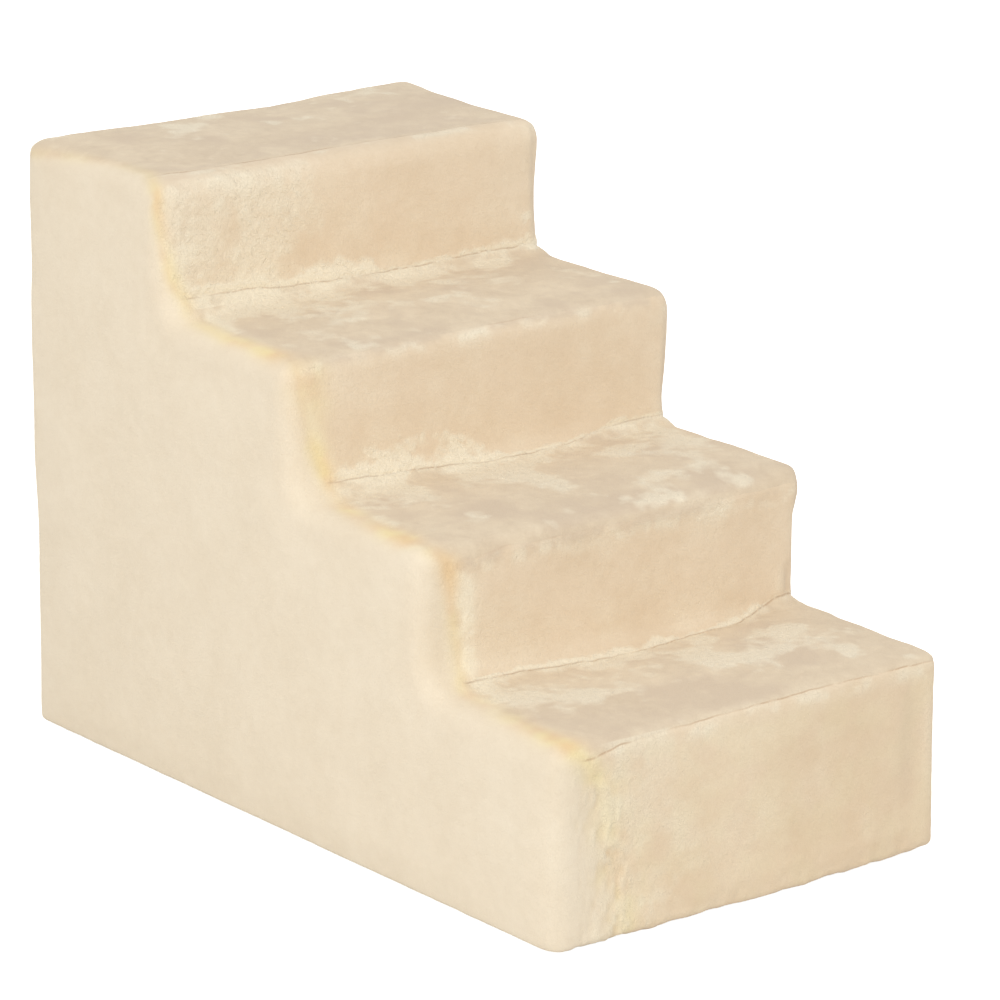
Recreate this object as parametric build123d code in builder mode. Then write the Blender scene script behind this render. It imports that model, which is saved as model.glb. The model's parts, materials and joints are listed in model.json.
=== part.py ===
from build123d import *
import os

os.makedirs("parts", exist_ok=True)

# Pet stairs: four steps of stacked foam slabs inside a zipped plush cover.
# Millimetres. +Z is up, the stairs climb towards +Y, and the origin is the middle of the base.

# Whole stairs, measured over the plush
step_count = 4
stair_width = 390.0
step_run = 168.0
top_run = 196.0
first_rise = 163.0
step_rise = 112.0

# Plush cover
cover_thickness = 9.0
nosing_radius = 16.0
inner_corner_radius = 12.0
side_roll_radius = 15.0
hem_roll_radius = 5.0
hem_lift = 1.0
tread_crown = 2.5
riser_draw_in = 3.0
seam_pinch_radius = 1.6

# Non-slip base panel and foam core
base_thickness = 2.0
foam_edge_radius = 3.0

# Zipper across the back: tapes, teeth and stops
zipper_height = 60.0
slot_half_height = 7.0
slot_edge_radius = 2.0
tape_width = 14.0
tape_thickness = 0.6
tape_gap = 3.6
tape_standoff = 1.9
tape_ease = 0.2
tooth_pitch = 3.2
tooth_width = 1.3
tooth_depth = 2.2
tooth_reach = 0.7
tooth_root = 1.6
cord_width = 1.2
cord_depth = 1.2
stop_length = 3.6
stop_half_height = 3.0
stop_edge_radius = 0.5
stop_setback = 16.0

# Slider
slider_length = 15.0
slider_mouth_half = 6.2
slider_tail_half = 4.9
slider_shoulder = 4.0
slider_plate = 1.2
slider_clearance = 0.4
slider_corner_radius = 1.2
slider_stop_gap = 0.7
flange_thickness = 1.1
divider_length = 4.4
divider_half_width = 1.5
divider_setback = 1.5
crown_half_length = 2.6
crown_half_width = 1.3
crown_wall = 0.65

# Pull tab
pin_radius = 0.7
pin_clearance = 0.08
pin_rise = 1.1
pull_length = 24.0
pull_half_width = 3.5
pull_thickness = 1.3
pull_window_length = 5.2
pull_window_half = 1.7
pull_slot_length = 8.0
pull_slot_half = 1.5
pull_end_margin = 2.4
pull_waist = 0.7
pull_corner_radius = 1.6

# How far a cutting shape runs past what it cuts
overrun = 40.0

# Places worked out from the sizes
stair_depth = step_run * (step_count - 1) + top_run
front_y = -stair_depth / 2
back_y = stair_depth / 2
nose_y = [front_y + step_run * i for i in range(step_count)]
inner_y = nose_y[1:] + [back_y]
tread_z = [first_rise + step_rise * i for i in range(step_count)]
riser_foot_z = [hem_lift] + tread_z[:-1]
top_z = tread_z[-1]
foam_half_width = stair_width / 2 - cover_thickness
foam_back_y = back_y - cover_thickness
nose_points = list(zip(nose_y, tread_z))
inner_points = list(zip(inner_y[:-1], tread_z[:-1]))


def finish(piece, name):
    """Labels a finished piece and writes it to its own file."""
    piece.label = name
    export_step(piece, f"parts/{name}.step")


def edges_along_x(part, points):
    """The edges along X whose ends stand at the given places in YZ."""
    return part.edges().filter_by(Axis.X).filter_by(
        lambda e: any(abs(e.center().Y - y) + abs(e.center().Z - z) < hem_lift for y, z in points)
    )


# Outer form of the cover: risers drawn in, treads crowned, and every free edge rolled
with BuildPart() as cover_form:
    with BuildSketch(Plane.YZ.offset(-stair_width / 2)):
        with BuildLine():
            for y, foot, top, inner in zip(nose_y, riser_foot_z, tread_z, inner_y):
                ThreePointArc((y, foot), (y + riser_draw_in, (foot + top) / 2), (y, top))
                ThreePointArc((y, top), ((y + inner) / 2, top + tread_crown), (inner, top))
            Line((back_y, top_z), (back_y, hem_lift))
            Line((back_y, hem_lift), (front_y, hem_lift))
        make_face()
    extrude(amount=stair_width)
    fillet(edges_along_x(cover_form, nose_points + [(back_y, top_z)]), radius=nosing_radius)
    fillet(edges_along_x(cover_form, inner_points), radius=inner_corner_radius)
    side_loops = cover_form.edges().filter_by(
        lambda e: abs(e.center().X) > foam_half_width and e.center().Z > 2 * hem_lift
    )
    fillet(side_loops, radius=side_roll_radius)
    fillet(cover_form.faces().sort_by(Axis.Z)[0].edges(), radius=hem_roll_radius)
    # The stitching pinches the plush along the seam below every nosing
    seam_depth = nosing_radius - (nosing_radius**2 - (nosing_radius - cover_thickness)**2)**0.5
    with BuildSketch(Plane.YZ.offset(-stair_width / 2)):
        with Locations([(y + seam_depth, z - cover_thickness) for y, z in nose_points]):
            Circle(seam_pinch_radius)
    extrude(amount=stair_width, mode=Mode.SUBTRACT)


def seam_point(y, z, outward=0.0, forward=-1):
    """A point on the 45 degree seam of the cover's corner (y, z), from the foam's corner outwards."""
    reach = cover_thickness - outward
    return (y - forward * reach, z - reach)


def cover_panel(corners):
    """The part of the cover between the given seams, as wide as the foam."""
    with BuildPart() as panel:
        with BuildSketch(Plane.YZ.offset(-foam_half_width)):
            with BuildLine():
                Polyline(*corners, close=True)
            make_face()
        extrude(amount=2 * foam_half_width)
        add(cover_form.part, mode=Mode.INTERSECT)
    return panel


# Tread panels: plush that wraps over the nosing, back to the next inner corner or the top back seam
for i in range(step_count):
    back_way = 1 if i == step_count - 1 else -1
    tread_panel = cover_panel([
        (nose_y[i] + cover_thickness, tread_z[i] - cover_thickness),
        (nose_y[i] - overrun, tread_z[i] - cover_thickness),
        (nose_y[i] - overrun, tread_z[i] + overrun),
        seam_point(inner_y[i], tread_z[i], overrun, back_way),
        seam_point(inner_y[i], tread_z[i], 0.0, back_way),
    ])
    finish(tread_panel.part, f"tread_panel_{i + 1}")

# Riser panels: plush from the hem or an inner corner up to the seam, which is level with the foam's top
for i in range(step_count):
    if i == 0:
        foot_corners = [(front_y - overrun, 0.0), (front_y + cover_thickness, 0.0)]
    else:
        foot_corners = [
            seam_point(nose_y[i], tread_z[i - 1], overrun),
            seam_point(nose_y[i], tread_z[i - 1]),
        ]
    riser_panel = cover_panel(foot_corners + [
        (nose_y[i] + cover_thickness, tread_z[i] - cover_thickness),
        (nose_y[i] - overrun, tread_z[i] - cover_thickness),
    ])
    finish(riser_panel.part, f"riser_panel_{i + 1}")

# Side panels: stair-shaped plush, each with the outer half of the rolled edge
for side, side_name in ((-1, "left"), (1, "right")):
    with BuildPart() as side_panel:
        with BuildSketch(Plane.YZ.offset(side * foam_half_width)):
            with Locations((0, top_z / 2)):
                Rectangle(stair_depth + overrun, top_z + overrun)
        extrude(amount=side * (cover_thickness + overrun))
        add(cover_form.part, mode=Mode.INTERSECT)
    finish(side_panel.part, f"{side_name}_side_panel")

# Foam core: four slabs in a stack, each as long as what is left above it
for i in range(step_count):
    slab_bottom = base_thickness if i == 0 else tread_z[i - 1] - cover_thickness
    slab_top = tread_z[i] - cover_thickness
    slab_front = nose_y[i] + cover_thickness
    with BuildPart() as foam_slab:
        with BuildSketch(Plane.XY.offset(slab_bottom)):
            with Locations((0, (slab_front + foam_back_y) / 2)):
                Rectangle(2 * foam_half_width, foam_back_y - slab_front)
        extrude(amount=slab_top - slab_bottom)
        fillet(edges_along_x(foam_slab, [(slab_front, slab_top)]), radius=foam_edge_radius)
    finish(foam_slab.part, f"foam_slab_{i + 1}")

# Base panel: thin non-slip cloth across the bottom, which the stairs stand on
with BuildPart() as base_panel:
    with BuildSketch(Plane.XY):
        with Locations((0, (front_y + back_y) / 2)):
            Rectangle(2 * foam_half_width, stair_depth - 2 * cover_thickness)
    extrude(amount=base_thickness)
finish(base_panel.part, "base_panel")

# Levels of the zipper's layers, counted from the foam's back face towards +Y
tape_back = foam_back_y + tape_standoff
tape_face = tape_back + tape_thickness
tooth_face = tape_face + tooth_depth
slot_top = zipper_height + slot_half_height
slot_bottom = zipper_height - slot_half_height
tape_inner = tape_gap / 2
tape_outer = tape_inner + tape_width

# Back panel and back hem strip: plush above and below the zipper, each sewn over its tape
back_panel_corners = [
    (foam_back_y, slot_top),
    (back_y + overrun, slot_top),
    seam_point(back_y, top_z, overrun, 1),
    seam_point(back_y, top_z, 0.0, 1),
]
back_hem_corners = [
    (foam_back_y, 0.0),
    (back_y + overrun, 0.0),
    (back_y + overrun, slot_bottom),
    (foam_back_y, slot_bottom),
]
for up, slot_edge, corners, back_name in (
    (1, slot_top, back_panel_corners, "back_panel"),
    (-1, slot_bottom, back_hem_corners, "back_hem_strip"),
):
    sewn_edge = zipper_height + up * (tape_outer + tape_ease)
    with BuildPart() as back_piece:
        add(cover_panel(corners).part)
        fillet(edges_along_x(back_piece, [(back_y, slot_edge)]), radius=slot_edge_radius)
        with BuildSketch(Plane.YZ.offset(-foam_half_width)):
            with Locations(((foam_back_y + tape_face) / 2, (slot_edge + sewn_edge) / 2)):
                Rectangle(tape_face - foam_back_y, abs(sewn_edge - slot_edge))
        extrude(amount=2 * foam_half_width, mode=Mode.SUBTRACT)
    finish(back_piece.part, back_name)

# The stops stand a little inside the side panels, and the slider is at the closed end of the zipper
stop_distance = foam_half_width - stop_setback
slider_x = stop_distance - stop_length / 2 - slider_stop_gap - slider_length / 2
slider_travel = 2 * (stop_distance - stop_length / 2 - slider_stop_gap) - slider_length
divider_start_x = slider_x + slider_length / 2 - divider_setback - divider_length
row_start_x = -stop_distance + stop_length / 2
row_end_x = divider_start_x - slider_clearance
tooth_count = int((row_end_x - row_start_x - tooth_pitch) / tooth_pitch)
tooth_height = tape_inner + tooth_root + tooth_reach

# Zipper tapes and teeth: a row of moulded teeth on its cord, along the edge of each tape
for up, row_name in ((1, "upper"), (-1, "lower")):
    with BuildPart() as zipper_tape:
        with BuildSketch(Plane.XZ.offset(-tape_back)):
            with Locations((0, zipper_height + up * (tape_inner + tape_outer) / 2)):
                Rectangle(2 * foam_half_width, tape_width)
        extrude(amount=-tape_thickness)
    finish(zipper_tape.part, f"zipper_tape_{row_name}")

    first_tooth_x = row_start_x + tooth_pitch * (0.5 if up > 0 else 1.0)
    tooth_middle_z = zipper_height + up * (tooth_height / 2 - tooth_reach)
    with BuildPart() as zipper_teeth:
        with BuildSketch(Plane.XZ.offset(-tape_face)):
            with Locations(((row_start_x + row_end_x) / 2, zipper_height + up * (tape_inner + cord_width / 2))):
                Rectangle(row_end_x - row_start_x, cord_width)
        extrude(amount=-cord_depth)
        with BuildSketch(Plane.XZ.offset(-tape_face)):
            with Locations([(first_tooth_x + tooth_pitch * n, tooth_middle_z) for n in range(tooth_count)]):
                Rectangle(tooth_width, tooth_height)
        extrude(amount=-tooth_depth)
    finish(zipper_teeth.part, f"zipper_teeth_{row_name}")

# Zipper stops: moulded blocks across both tapes, one at each end of the teeth
for x, stop_name in ((-stop_distance, "zipper_bottom_stop"), (stop_distance, "zipper_top_stop")):
    with BuildPart() as zipper_stop:
        with BuildSketch(Plane.XZ.offset(-tape_face)):
            with Locations((x, zipper_height)):
                Rectangle(stop_length, 2 * stop_half_height)
        extrude(amount=-tooth_depth)
        fillet(zipper_stop.faces().sort_by(Axis.Y)[-1].edges(), radius=stop_edge_radius)
    finish(zipper_stop.part, stop_name)

# Slider: two plates joined by the divider that parts the rows, with a crown for the pull
rear_plate_back = tape_back - slider_clearance - slider_plate
front_plate_back = tooth_face + slider_clearance
front_plate_face = front_plate_back + slider_plate
flange_foot = tape_face + slider_clearance
tail_x = slider_x - slider_length / 2
mouth_x = slider_x + slider_length / 2
pin_y = front_plate_face + pin_rise
slider_outline = [
    (tail_x, zipper_height + slider_tail_half),
    (mouth_x - slider_shoulder, zipper_height + slider_mouth_half),
    (mouth_x, zipper_height + slider_tail_half),
    (mouth_x, zipper_height - slider_tail_half),
    (mouth_x - slider_shoulder, zipper_height - slider_mouth_half),
    (tail_x, zipper_height - slider_tail_half),
]

with BuildPart() as zipper_slider:
    # Rear plate, and a front plate that is thick enough for its flanges
    for level, depth in (
        (rear_plate_back, slider_plate),
        (flange_foot, front_plate_face - flange_foot),
    ):
        with BuildSketch(Plane.XZ.offset(-level)) as plate:
            with BuildLine():
                Polyline(*slider_outline, close=True)
            make_face()
            fillet(plate.vertices(), radius=slider_corner_radius)
        extrude(amount=-depth)
    with BuildSketch(Plane.XZ.offset(-flange_foot)) as channel:
        with BuildLine():
            Polyline(*slider_outline, close=True)
        make_face()
        offset(amount=-flange_thickness)
    extrude(amount=-(front_plate_back - flange_foot), mode=Mode.SUBTRACT)
    # The two ends of the channel are open for the rows
    with BuildSketch(Plane.XZ.offset(-flange_foot)):
        with Locations((slider_x, zipper_height)):
            Rectangle(slider_length + overrun, 2 * (slider_tail_half - flange_thickness))
    extrude(amount=-(front_plate_back - flange_foot), mode=Mode.SUBTRACT)
    with BuildSketch(Plane.XZ.offset(-(rear_plate_back + slider_plate))):
        with BuildLine():
            Polyline(
                (divider_start_x, zipper_height),
                (divider_start_x + divider_half_width, zipper_height + divider_half_width),
                (divider_start_x + divider_length, zipper_height + divider_half_width),
                (divider_start_x + divider_length, zipper_height - divider_half_width),
                (divider_start_x + divider_half_width, zipper_height - divider_half_width),
                close=True,
            )
        make_face()
    extrude(amount=-(front_plate_back - rear_plate_back - slider_plate))
    # Crown: a low arch that holds the pull's pin
    crown_top = pin_y + pin_radius + pin_clearance + crown_wall
    with BuildSketch(Plane.XY.offset(zipper_height - crown_half_width)) as crown:
        with Locations((slider_x, (front_plate_face + crown_top) / 2)):
            Rectangle(2 * crown_half_length, crown_top - front_plate_face)
        fillet(crown.vertices().group_by(Axis.Y)[-1], radius=slider_corner_radius)
        with Locations((slider_x, pin_y)):
            Circle(pin_radius + pin_clearance, mode=Mode.SUBTRACT)
    extrude(amount=2 * crown_half_width)
finish(zipper_slider.part, "zipper_slider")

# Pull tab: a flat tab with a window for the crown and a pin across the window's end
pull_tip_x = slider_x - pull_length
with BuildPart() as zipper_pull:
    with BuildSketch(Plane.XZ.offset(-(pin_y - pull_thickness / 2))) as pull_outline:
        with BuildLine():
            Polyline(
                (slider_x, zipper_height + pull_half_width),
                (slider_x - pull_window_length, zipper_height + pull_half_width),
                (slider_x - pull_length / 2, zipper_height + pull_half_width - pull_waist),
                (pull_tip_x, zipper_height + pull_half_width),
                (pull_tip_x, zipper_height - pull_half_width),
                (slider_x - pull_length / 2, zipper_height - pull_half_width + pull_waist),
                (slider_x - pull_window_length, zipper_height - pull_half_width),
                (slider_x, zipper_height - pull_half_width),
                close=True,
            )
        make_face()
        fillet(pull_outline.vertices().group_by(Axis.X)[0], radius=pull_corner_radius)
        with Locations((slider_x - pull_window_length / 2, zipper_height)):
            Rectangle(pull_window_length, 2 * pull_window_half, mode=Mode.SUBTRACT)
        with Locations((pull_tip_x + pull_end_margin + pull_slot_length / 2, zipper_height)):
            SlotOverall(pull_slot_length, 2 * pull_slot_half, mode=Mode.SUBTRACT)
    extrude(amount=-pull_thickness)
    with BuildSketch(Plane.XY.offset(zipper_height - pull_half_width)):
        with Locations((slider_x, pin_y)):
            Circle(pin_radius)
    extrude(amount=2 * pull_half_width)
finish(zipper_pull.part, "zipper_pull")

print(f"slider travel {slider_travel:.2f} mm towards -X")
print(f"pull pin at x {slider_x:.2f}, y {pin_y:.2f}, z {zipper_height:.2f}")
print(f"crown stands {back_y - crown_top:.2f} mm below the plush")
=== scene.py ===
import json
import math

import bmesh
import bpy
import numpy as np
from mathutils import Matrix, Vector

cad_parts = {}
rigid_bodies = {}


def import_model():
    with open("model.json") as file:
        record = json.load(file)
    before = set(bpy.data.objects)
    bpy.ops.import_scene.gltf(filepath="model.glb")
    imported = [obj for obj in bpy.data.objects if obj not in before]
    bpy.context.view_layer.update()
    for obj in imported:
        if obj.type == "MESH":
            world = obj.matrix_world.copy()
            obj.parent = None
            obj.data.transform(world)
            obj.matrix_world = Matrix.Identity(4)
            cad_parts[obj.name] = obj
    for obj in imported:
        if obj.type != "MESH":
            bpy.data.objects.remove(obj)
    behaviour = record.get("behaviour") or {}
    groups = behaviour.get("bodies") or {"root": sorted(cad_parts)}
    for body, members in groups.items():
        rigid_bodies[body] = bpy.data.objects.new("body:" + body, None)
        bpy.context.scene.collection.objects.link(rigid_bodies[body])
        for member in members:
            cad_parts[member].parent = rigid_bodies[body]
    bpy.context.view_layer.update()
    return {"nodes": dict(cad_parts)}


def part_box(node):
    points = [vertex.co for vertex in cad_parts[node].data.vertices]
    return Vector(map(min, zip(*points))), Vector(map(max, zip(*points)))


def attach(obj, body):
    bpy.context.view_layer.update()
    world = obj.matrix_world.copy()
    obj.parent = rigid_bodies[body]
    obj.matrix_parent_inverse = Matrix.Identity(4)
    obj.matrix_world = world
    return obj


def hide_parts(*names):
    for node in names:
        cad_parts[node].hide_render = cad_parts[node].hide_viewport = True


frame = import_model()

# Pet stairs: a stack of foam slabs in a plush cover that zips across the back. Metres throughout.
steps = (1, 2, 3, 4)
plush_body = "stairs"

# Foam core: four slabs of soft upholstery foam, sawn from sheet and glued in a stack, each one
# shorter than the slab below. Nothing of it shows unless the cover is off.
foam_low, foam_high = zip(*(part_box(f"foam_slab_{i}") for i in steps))
foam_edge, foam_gap, foam_pore, foam_cuts = 0.003, 0.0001, 0.0006, 7


def build_mesh(name, bm, material=None, smooth=True):
    """Turns a finished bmesh into an object at the origin."""
    mesh = bpy.data.meshes.new(name)
    bm.to_mesh(mesh)
    bm.free()
    piece = bpy.data.objects.new(name, mesh)
    bpy.context.scene.collection.objects.link(piece)
    if smooth:
        mesh.shade_smooth()
    if material:
        mesh.materials.append(material)
    return piece


def move_mesh(bm, way, points=None):
    """Moves a bmesh, or some points of it."""
    bmesh.ops.translate(bm, vec=way, verts=points or bm.verts)


def stretch_mesh(bm, sizes):
    """Scales a bmesh along each axis."""
    bmesh.ops.scale(bm, vec=sizes, verts=bm.verts)


def add_node(tree, kind, **settings):
    """A shader node whose inputs or properties are set by name; a linked input is given as a socket."""
    node = tree.nodes.new(kind)
    for key, value in settings.items():
        if hasattr(node, key):
            setattr(node, key, value)
            continue
        socket = node.inputs[key.replace("_", " ")]
        if isinstance(value, bpy.types.NodeSocket):
            tree.links.new(value, socket)
        else:
            socket.default_value = value
    return node


def object_place(tree):
    """Where a point is on its piece, in metres."""
    return add_node(tree, "ShaderNodeTexCoord").outputs["Object"]


def new_material(name, roughness, **constants):
    """A material with one Principled shader, and its tree."""
    material = bpy.data.materials.new(name)
    material.use_nodes = True
    tree = material.node_tree
    shader = tree.nodes["Principled BSDF"]
    shader.inputs["Roughness"].default_value = roughness
    for key, value in constants.items():
        shader.inputs[key.replace("_", " ")].default_value = value
    return material, tree, shader


def blend_colours(tree, share, first, second):
    """Mixes two colours by a share."""
    mix = tree.nodes.new("ShaderNodeMix")
    mix.data_type = "RGBA"
    for name, value in (("Factor", share), ("A", first), ("B", second)):
        socket = mix.inputs[name]
        if isinstance(value, bpy.types.NodeSocket):
            tree.links.new(value, socket)
        else:
            socket.default_value = value
    return mix.outputs["Result"]


def bump_normal(tree, shader, height, distance):
    """Feeds a height to the shader as a bump, in metres."""
    bump = add_node(tree, "ShaderNodeBump", Height=height, Distance=distance, Strength=1.0)
    tree.links.new(bump.outputs["Normal"], shader.inputs["Normal"])


def show_grain(tree, shader, grain, low, high, distance):
    """Colours the shader from one colour to another by a grain, and bumps it by the same grain."""
    tree.links.new(blend_colours(tree, grain, low, high), shader.inputs["Base Color"])
    bump_normal(tree, shader, grain, distance)


foam_white, foam_cell = (0.86, 0.84, 0.76, 1), (0.7, 0.66, 0.55, 1)
foam, tree, shader = new_material("open_cell_foam", 0.95, Sheen_Weight=0.1)
place = object_place(tree)
cells = add_node(tree, "ShaderNodeTexVoronoi", Vector=place, Scale=900.0).outputs["Distance"]
show_grain(tree, shader, cells, foam_cell, foam_white, foam_pore)

for i, low, high in zip(steps, foam_low, foam_high):
    bm = bmesh.new()
    bmesh.ops.create_cube(bm, size=1)
    size = Vector(high) - Vector(low) - Vector((foam_gap,) * 3)
    stretch_mesh(bm, size)
    move_mesh(bm, (Vector(high) + Vector(low)) / 2)
    bmesh.ops.bevel(bm, geom=bm.edges[:], offset=foam_edge, segments=3, profile=0.5, affect="EDGES",
                    material=-1)
    long_edges = [e for e in bm.edges if e.calc_length() > foam_edge * 4]
    bmesh.ops.subdivide_edges(bm, edges=long_edges, cuts=foam_cuts, use_grid_fill=True)
    slab = build_mesh(f"foam_block_{i}", bm, foam)
    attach(slab, plush_body)
    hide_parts(f"foam_slab_{i}")

# Plush cover: short fleece pile on a knitted back, cut as treads, risers, two side panels, a back
# panel and a hem strip, and sewn into one fitted bag. It is shaped whole here, and then parted
# along its seams.
half_width = Vector(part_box("right_side_panel")[1]).x
cover = half_width - foam_high[0][0]
front_y, back_y = foam_low[0][1] - cover, foam_high[0][1] + cover
nose_y = [low[1] - cover for low in foam_low]
tread_z = [high[2] + cover for high in foam_high]
foot_z = [0.0] + tread_z[:-1]
inner_y = nose_y[1:] + [back_y]
top_z = tread_z[-1]
slot_low, slot_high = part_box("back_hem_strip")[1][2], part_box("back_panel")[0][2]

nosing_radius, sharper_corner, hem_radius, hem_lift = 0.016, 0.006, 0.0015, 0.0005
inner_radius = ((0.026, 0.004), (0.026, 0.009), (0.026, 0.013))  # at the left end and at the right end
left_roll, back_radius, back_roll = 0.021, 0.010, (0.011, 0.007)
riser_draw, tread_crown = 0.0055, 0.0015
top_band, top_left_roll = 0.05, 0.006  # below the top tread, where the back's left roll widens
back_plump_left, back_plump_right = 0.002, 0.0033  # how much fuller the top tread is at its back corners
plump_from, plump_over, plump_above = 0.2, 0.12, 0.3  # that grows from here along Y, over this, above this
drawn_depth, roll_ease = 0.07, 0.08  # how deep the right side is drawn in; where the back's rolls end
swell, swell_pressure, swell_frames, swell_bending = 0.002, 4.0, 20, 0.6
held_band, swell_ease = 0.012, 0.06  # the band that is held beside each seam, and where the swell sets in
coarse, fine = 0.006, 0.0018

# The right side's edge, from the floor up: millimetres up the climb, its roll, and how far it is drawn in
right_edge = (
    (0, 9, 4.5), (140, 8, 5.5), (163, 7, 5), (178, 6, 1), (195, 6, 0), (220, 11, 0), (270, 10, 0),
    (286, 7, 1), (298, 4, -4), (310, 3, -6.5), (329, 3, -6), (335, 7, 5.5), (345, 12, 5.5), (375, 12, 5),
    (395, 12, 5), (410, 12, 4), (425, 13, 0), (443, 14, -1), (460, 7, -5), (480, 5, -5), (560, 5, -1),
    (580, 4, -4), (609, 4, -5), (615, 9, 1), (620, 12, 1.5), (640, 12, 2.5), (660, 12, 1.5), (680, 13, 0),
    (700, 13, -1), (723, 14, -1.5), (745, 10, 0), (860, 10, 0), (888, 6, -1), (895, 11, 2), (910, 12, 3),
    (930, 12, 4), (950, 13, 4), (965, 14, 3), (980, 15, 1), (1003, 16, 0), (1050, 14, 0), (1090, 17, 0),
    (1170, 17, 0), (1200, 14, 0),
)

# Where the seams between treads and risers run, from the bottom nosing up: shares of the half width from
# the middle, and millimetres up the climb past the nosing or the inner corner
seam_paths = (
    ((-1, -12), (-0.82, -10.4), (-0.75, -8.5), (-0.66, -5), (-0.39, -1.8), (0, 0), (0.4, 1.4),
     (0.64, -0.4), (1, -2)),
    ((-1, -3), (-0.62, -3.3), (-0.52, -4.8), (-0.38, -8), (-0.17, -12), (0.07, -13.3), (0.25, -12),
     (0.35, -9), (0.55, -9), (0.64, -6), (0.74, 0.3), (0.81, 6.3), (0.87, 9.5), (1, 10)),
    ((-1, -11), (-0.72, -10.7), (-0.54, -6.5), (-0.34, -8.5), (0, -9.5), (1, -9)),
    ((-1, 10), (-0.7, 9.5), (-0.53, 6.5), (-0.39, 5), (-0.25, 3), (-0.13, 0.4), (-0.02, -4), (0.17, -3.2),
     (0.43, -0.5), (0.53, 3.2), (0.63, 6), (0.71, 9.2), (1, 8.5)),
    ((-1, 4), (-0.67, 4.7), (-0.3, 8), (0.22, 8.5), (0.6, 3), (1, 0)),
    ((-1, 16), (-0.56, 15.6), (-0.42, 11.5), (-0.19, 8.2), (0, 6.8), (0.35, 6.8), (0.63, 9), (1, 7)),
    ((-1, 34), (-0.84, 32), (-0.76, 28.5), (-0.59, 25.7), (-0.4, 24), (0.48, 24), (0.63, 22.4),
     (0.82, 15.8), (1, 9)),
)
# How plainly each of those seams shows between the pile, at the same shares
seam_lines = (
    ((-1, 0.4), (-0.85, 1.0), (0.8, 1.0), (1, 0.3)),
    ((-1, 0.6), (-0.7, 1.0), (1, 0.9)),
    ((-1, 0.0), (-0.75, 0.5), (-0.5, 0.4), (-0.2, 0.1), (0, 0.0)),
    ((-1, 0.3), (-0.8, 0.7), (-0.1, 1.0), (0.05, 0.5), (0.2, 0.9), (1, 0.8)),
    ((-1, 0.0), (-0.65, 0.2), (-0.4, 0.1), (0.0, 0.05), (0.1, 0.5), (0.25, 0.4), (0.35, 0.0)),
    ((-1, 0.6), (-0.5, 0.7), (0, 1.0), (1, 0.7)),
    ((-1, 0.3), (-0.8, 1.2), (0.6, 1.2), (0.85, 0.6), (1, 0.0)),
)
# How far up from each inner corner's seam the loose pale pile reaches, at the same shares, in mm
crease_pile = (
    ((-1, 4), (-0.6, 3), (-0.3, 8), (0.2, 8), (0.3, 2), (0.5, 2), (0.58, 14), (0.7, 12), (0.78, 2), (1, 5)),
    ((-1, 6), (-0.72, 13), (-0.55, 21), (-0.1, 20), (0.0, 12), (0.1, 3), (0.65, 2), (0.75, 6), (0.9, 5),
     (1, 3)),
    ((-1, 8), (-0.3, 10), (-0.22, 14), (0.05, 14), (0.15, 3), (0.4, 3), (0.5, 6), (0.9, 7), (1, 10)),
)
# How far the left side panel comes round onto the steps: millimetres up the climb, and millimetres in
# from the side. The right one and the back keep the plain wraps below it
left_wrap = (
    (5, 60), (36, 56), (71, 49), (105, 41), (132, 35), (147, 28), (160, 19), (186, 16), (216, 19),
    (254, 24), (288, 32), (316, 38), (334, 39), (354, 38), (388, 33), (420, 28), (436, 24), (449, 18),
    (476, 18), (505, 20), (539, 26), (574, 34), (605, 40), (622, 37), (636, 33), (658, 23), (688, 15),
    (705, 12), (722, 11), (746, 16), (787, 18), (817, 19), (851, 24), (880, 27), (896, 23), (912, 16),
    (928, 8), (944, 3), (961, -2), (979, -6), (997, -9), (1014, -2), (1047, 16), (1090, 13), (1130, 4),
    (1165, -6), (1199, -12),
)
plain_wrap, right_wrap = cover, -0.006
# Folds near both sides: the share across, the millimetres up the climb, half their size each way in the
# same measures, and their height in millimetres
folds = (
    (-0.785, 128, 0.03, 11, -1.5), (-0.75, 84, 0.02, 22, -1.0), (-0.80, 100, 0.022, 24, 0.9),
    (0.82, 100, 0.045, 50, -0.8), (0.93, 95, 0.035, 48, 0.8), (0.92, 353, 0.02, 14, -1.6),
    (0.87, 350, 0.025, 14, 0.8), (0.955, 950, 0.016, 55, -1.3), (0.965, 660, 0.013, 45, -0.8),
    (0.965, 395, 0.012, 50, -0.9),
)
topstitch_way, topstitch_depth = 0.004, 0.0012  # the stitching beside the zipper slot
# How much loose pale pile stands along the left seam, at millimetres up the climb, and half its band's
# width in mm
left_fluff = (
    (0, 0.5), (140, 0.6), (165, 0.3), (330, 0.3), (345, 1.3), (430, 1.3), (450, 0.3), (620, 0.3),
    (640, 0.8), (700, 0.5), (735, 0.2), (890, 0.3), (905, 0.7), (1000, 0.5), (1030, 0.1),
)
left_fluff_width = ((0, 7), (330, 7), (345, 9.5), (430, 9.5), (450, 6), (1200, 6))
# How yellowed the cover is along the left seam, and half that band's width in mm
left_amber = (
    (0, 0.1), (120, 0.15), (145, 0.6), (170, 1.0), (200, 0.8), (215, 0.6), (235, 0.5), (300, 0.6),
    (330, 0.6), (350, 0.35), (380, 0.55), (400, 0.5), (430, 1.0), (500, 0.9), (530, 0.7), (600, 0.7),
    (630, 0.9), (660, 0.7), (700, 0.9), (770, 1.0), (790, 0.7), (815, 0.9), (880, 0.9), (910, 0.7),
    (1000, 0.8), (1025, 0.5), (1060, 0.25), (1199, 0.3),
)
left_amber_width = (
    (0, 14), (140, 13), (190, 12), (300, 9), (335, 7), (400, 7), (430, 12), (480, 12), (560, 9), (615, 8),
    (670, 12), (690, 17), (720, 18), (740, 14), (790, 10), (891, 8), (950, 8), (1000, 8), (1030, 8),
    (1200, 9),
)
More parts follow.
